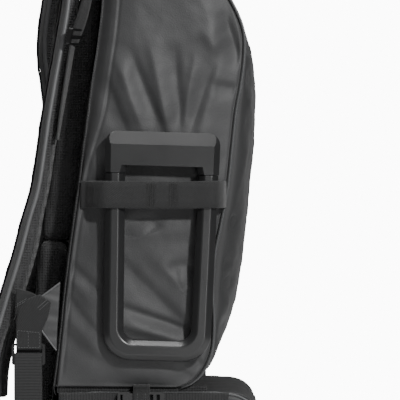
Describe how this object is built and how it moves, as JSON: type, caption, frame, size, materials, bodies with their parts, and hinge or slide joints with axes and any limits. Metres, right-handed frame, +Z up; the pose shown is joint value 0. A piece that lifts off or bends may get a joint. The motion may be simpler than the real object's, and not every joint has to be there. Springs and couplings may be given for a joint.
{
  "type": "tackle backpack",
  "caption": "Coated-fabric fishing backpack with zipped top, drop-front tackle base, padded harness and a rigid sliding loop held on its side.",
  "frame": {"origin": "centre of the underside of the base, at the foot of the middle rubber foot", "axes": "+Z up through the bag, +X to the side without the loop, -Y out of the front, harness on +Y"},
  "size_m": [0.3447, 0.2646, 0.5551],
  "materials": {
    "tarp_side": "satin coated fabric",
    "tarp_front": "satin coated fabric",
    "tarp_base": "satin coated fabric",
    "mesh_black": "matt mesh",
    "strap_fabric": "matt fabric",
    "stiffener": "matt",
    "piping": "satin",
    "zip_tape": "matt coated",
    "zip_metal": "satin",
    "pull_rubber": "matt",
    "webbing_grey": "woven",
    "loop_plastic": "satin",
    "buckle_plastic": "matt",
    "handle_rubber": "matt",
    "foot_rubber": "matt"
  },
  "bodies": {
    "bag": {"adjuster_left": "buckle_plastic", "adjuster_right": "buckle_plastic", "back_frame_sheet": "stiffener", "back_pad_left": "mesh_black", "back_pad_right": "mesh_black", "back_panel": "mesh_black", "base_belt_left": "webbing_grey", "base_belt_right": "webbing_grey", "base_floor": "stiffener", "base_side_left": "tarp_base", "base_side_right": "tarp_base", "base_wrap_panel": "tarp_base", "base_zip_upper": "zip_tape", "bottom_panel": "tarp_front", "buckle_socket_left": "buckle_plastic", "buckle_socket_right": "buckle_plastic", "front_panel": "tarp_front", "handle_anchors": "webbing_grey", "harness_webbing_left": "webbing_grey", "harness_webbing_right": "webbing_grey", "lid_hinge_welt": "piping", "lid_zip_lower": "zip_tape", "lifter_buckle_left": "buckle_plastic", "lifter_buckle_right": "buckle_plastic", "lifter_webbing_left": "webbing_grey", "lifter_webbing_right": "webbing_grey", "link_strap_left": "webbing_grey", "link_strap_right": "webbing_grey", "lower_webbing_left": "webbing_grey", "lower_webbing_right": "webbing_grey", "lumbar_pad": "mesh_black", "piping_left": "piping", "piping_right": "piping", "rubber_feet": "foot_rubber", "shoulder_strap_left": "strap_fabric", "shoulder_strap_right": "strap_fabric", "shoulder_webbing_left": "webbing_grey", "shoulder_webbing_right": "webbing_grey", "side_panel_left": "tarp_side", "side_panel_right": "tarp_side", "side_strap_keeper": "webbing_grey", "side_strap_left": "webbing_grey", "side_strap_right": "webbing_grey", "strap_wing_left": "tarp_side", "strap_wing_right": "tarp_side"},
    "lid": {"lid_panel": "tarp_side", "lid_zip_upper": "zip_tape"},
    "flap": {"base_front_flap": "tarp_base", "base_zip_lower": "zip_tape"},
    "side_loop": {"side_loop_bow": "loop_plastic", "side_loop_crossbar": "loop_plastic"},
    "handle": {"grab_handle": "handle_rubber"},
    "lid_slider_left": {"lid_slider_left": "zip_metal"},
    "lid_slider_right": {"lid_slider_right": "zip_metal"},
    "lid_pull_left": {"lid_pull_left": "pull_rubber"},
    "lid_pull_right": {"lid_pull_right": "pull_rubber"},
    "base_slider": {"base_slider": "zip_metal"},
    "base_pull": {"base_pull": "pull_rubber"},
    "buckle_prong_left": {"buckle_prong_left": "buckle_plastic"},
    "buckle_prong_right": {"buckle_prong_right": "buckle_plastic"}
  },
  "joints": [
    {"name": "lid_hinge", "type": "hinge", "parent": "bag", "child": "lid", "pos_m": [0, 0.05, 0.534], "axis": [-1, 0, 0], "range_deg": [0, 100]},
    {"name": "front_flap_hinge", "type": "hinge", "parent": "bag", "child": "flap", "pos_m": [0, -0.096, 0.014], "axis": [1, 0, 0], "range_deg": [0, 95]},
    {"name": "side_loop_slide", "type": "slide", "parent": "bag", "child": "side_loop", "axis": [0, -0.0297, 0.9996], "range_m": [-0.012, 0.112]},
    {"name": "handle_hinge", "type": "hinge", "parent": "bag", "child": "handle", "pos_m": [0, 0.057, 0.52], "axis": [1, 0, 0], "range_deg": [0, 120]},
    {"name": "lid_slider_left_slide", "type": "slide", "parent": "bag", "child": "lid_slider_left", "axis": [-1, 0, 0], "range_m": [0, 0.118]},
    {"name": "lid_slider_right_slide", "type": "slide", "parent": "bag", "child": "lid_slider_right", "axis": [1, 0, 0], "range_m": [0, 0.118]},
    {"name": "lid_pull_left_hinge", "type": "hinge", "parent": "lid_slider_left", "child": "lid_pull_left", "pos_m": [-0.009, -0.05142, 0.5169], "axis": [-1, 0, 0], "range_deg": [0, 95]},
    {"name": "lid_pull_right_hinge", "type": "hinge", "parent": "lid_slider_right", "child": "lid_pull_right", "pos_m": [0.009, -0.05142, 0.5169], "axis": [-1, 0, 0], "range_deg": [0, 95]},
    {"name": "base_slider_slide", "type": "slide", "parent": "flap", "child": "base_slider", "axis": [-1, 0, 0], "range_m": [-0.01, 0.218]},
    {"name": "base_pull_hinge", "type": "hinge", "parent": "base_slider", "child": "base_pull", "pos_m": [0.104, -0.09727, 0.08839], "axis": [-1, 0, 0], "range_deg": [0, 95]},
    {"name": "belt_buckle_left_release", "type": "slide", "parent": "bag", "child": "buckle_prong_left", "axis": [0, -1, 0], "range_m": [0, 0.016]},
    {"name": "belt_buckle_right_release", "type": "slide", "parent": "bag", "child": "buckle_prong_right", "axis": [0, -1, 0], "range_m": [0, 0.016]}
  ]
}
